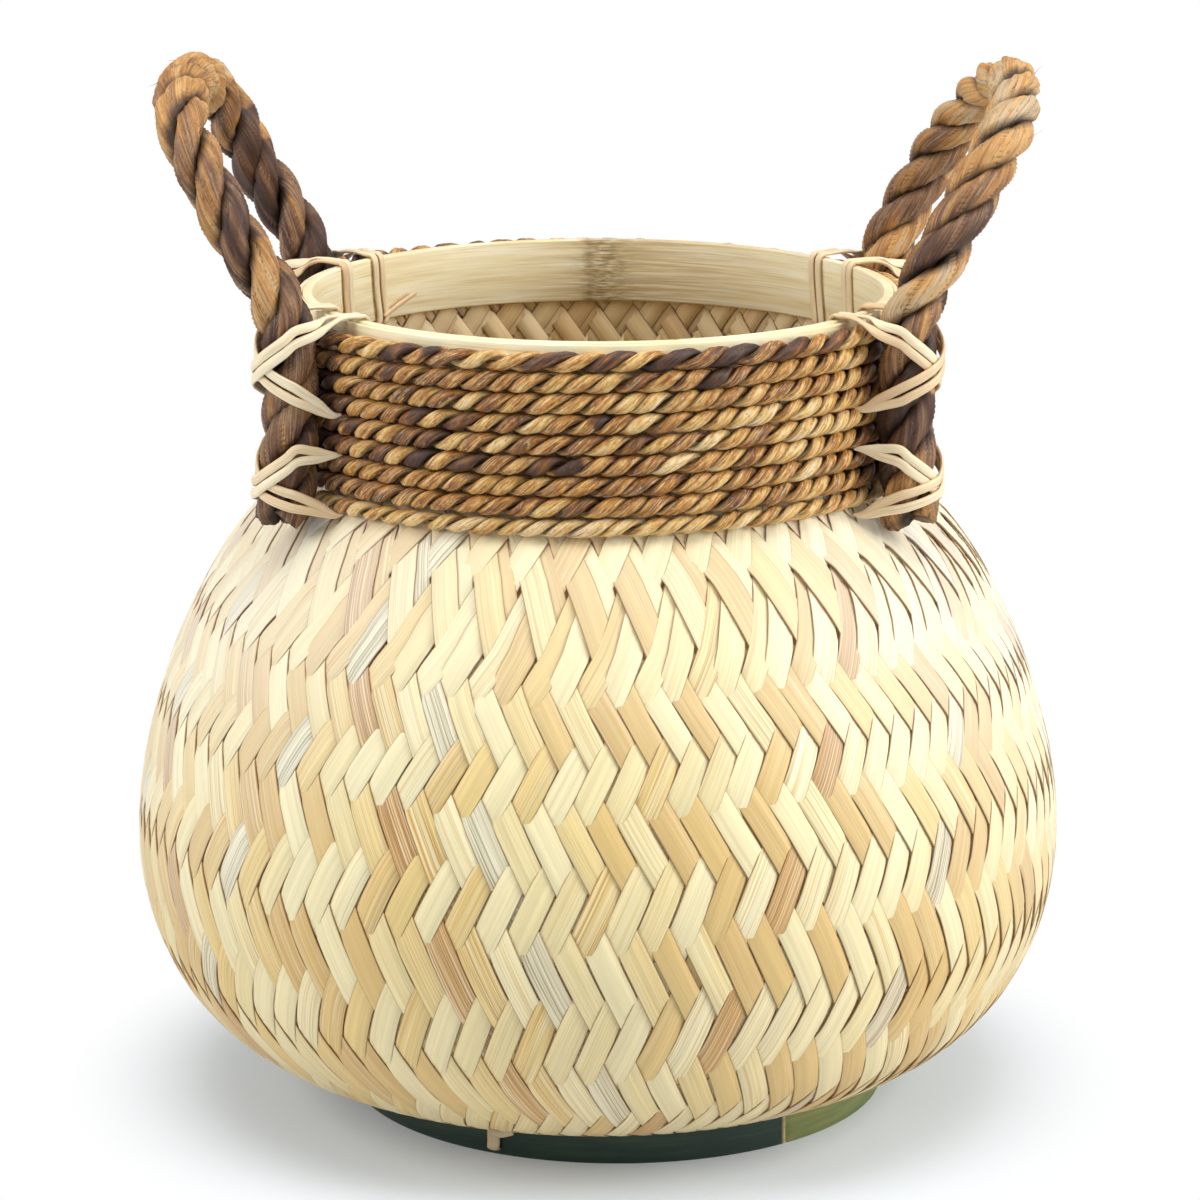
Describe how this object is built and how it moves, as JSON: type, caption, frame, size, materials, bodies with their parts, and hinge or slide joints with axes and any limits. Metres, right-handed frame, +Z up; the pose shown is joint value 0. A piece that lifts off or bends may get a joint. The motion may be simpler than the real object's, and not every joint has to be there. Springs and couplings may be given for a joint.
{
  "type": "woven planter basket",
  "caption": "Round bamboo twill planter basket with a rope-wound neck, a split bamboo foot hoop and leaning rope handles lashed on with rattan peel.",
  "frame": {"origin": "on the floor under the middle of the belly, at the centre of the part's box", "axes": "+Z up through the mouth, -Y to the front, +X and -X towards the two handles"},
  "size_m": [0.34, 0.34, 0.3832],
  "materials": {
    "bamboo_strip": "satin, split and scraped",
    "split_bamboo": "satin, split with the grain",
    "green_bamboo": "waxy skin, unpeeled",
    "seagrass_rope": "matt, laid fibre",
    "bark_rope": "matt, hairy laid fibre",
    "rattan_peel": "satin, split"
  },
  "bodies": {
    "root": {"woven_body": "bamboo_strip", "rim_inner_hoop": "split_bamboo", "rim_outer_strip": "split_bamboo", "neck_rope": "seagrass_rope", "right_front_bend": "bark_rope", "right_front_leg": "bark_rope", "right_front_upper_lash": "rattan_peel", "right_front_lower_lash": "rattan_peel", "right_rear_bend": "bark_rope", "right_rear_leg": "bark_rope", "right_rear_upper_lash": "rattan_peel", "right_rear_lower_lash": "rattan_peel", "left_front_bend": "bark_rope", "left_front_leg": "bark_rope", "left_front_upper_lash": "rattan_peel", "left_front_lower_lash": "rattan_peel", "left_rear_bend": "bark_rope", "left_rear_leg": "bark_rope", "left_rear_upper_lash": "rattan_peel", "left_rear_lower_lash": "rattan_peel", "foot_hoop": "green_bamboo", "foot_tie_1": "rattan_peel", "foot_tie_2": "rattan_peel", "foot_tie_3": "rattan_peel"},
    "left_handle": {"left_handle_loop": "bark_rope"},
    "right_handle": {"right_handle_loop": "bark_rope"}
  },
  "joints": [
    {"name": "left_handle_flex", "type": "hinge", "parent": "root", "child": "left_handle", "pos_m": [-0.1082, 0, 0.302], "axis": [0, 1, 0], "range_deg": [-28, 45], "deforming": ["left_front_bend", "left_rear_bend"]},
    {"name": "right_handle_flex", "type": "hinge", "parent": "root", "child": "right_handle", "pos_m": [0.1082, 0, 0.302], "axis": [0, -1, 0], "range_deg": [-28, 45], "deforming": ["right_front_bend", "right_rear_bend"]}
  ]
}
